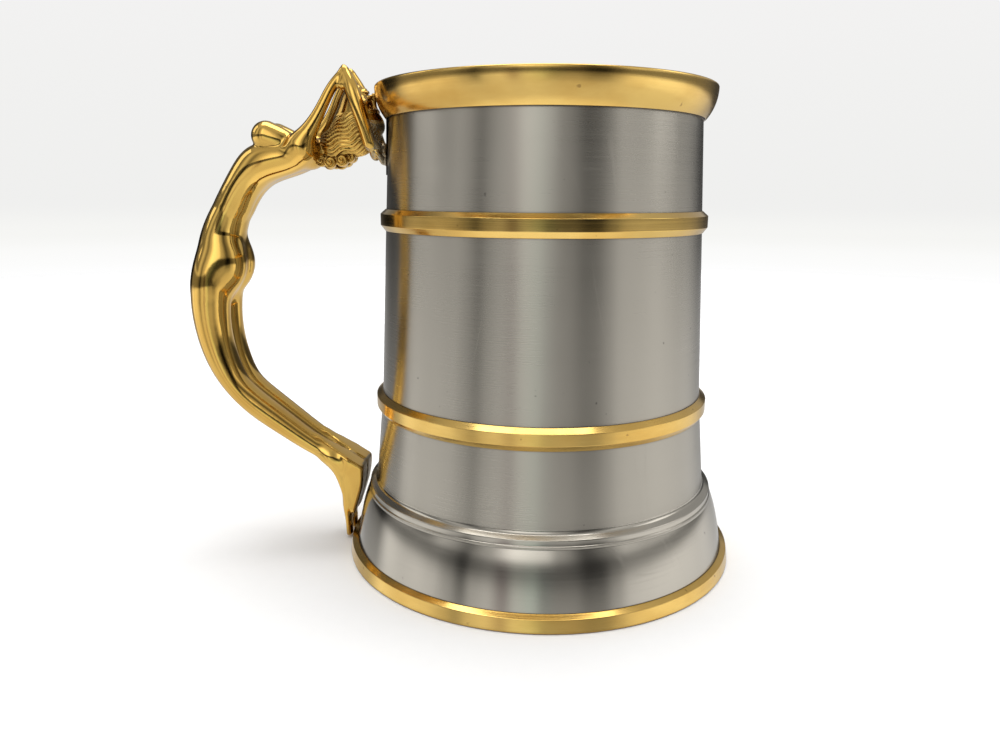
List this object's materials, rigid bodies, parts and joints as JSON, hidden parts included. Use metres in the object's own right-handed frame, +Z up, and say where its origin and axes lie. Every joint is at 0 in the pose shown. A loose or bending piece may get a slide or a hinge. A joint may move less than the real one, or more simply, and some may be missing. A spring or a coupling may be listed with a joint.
{
  "type": "tankard",
  "caption": "Tapered pewter drinking tankard with brass rim collar, bands and foot ring, and a gilt cast handle in the form of a figure arching back to the rim.",
  "frame": {"origin": "centre of the circle on which the foot ring stands", "axes": "+Z up along the cup's axis, towards the rim; -X towards the handle; +Y across the handle, away from a viewer who has the handle on the left"},
  "size_m": [0.144, 0.1036, 0.1256],
  "materials": {
    "pewter": "satin",
    "brass": "polished",
    "gilt": "polished",
    "solder": "satin"
  },
  "bodies": {
    "root": {"barrel": "pewter", "floor_disc": "pewter", "base_skirt": "pewter", "rim_collar": "brass", "upper_band": "brass", "lower_band": "brass", "foot_ring": "brass", "handle_figure": "gilt", "solder_top": "solder", "solder_bottom": "solder"}
  },
  "joints": []
}
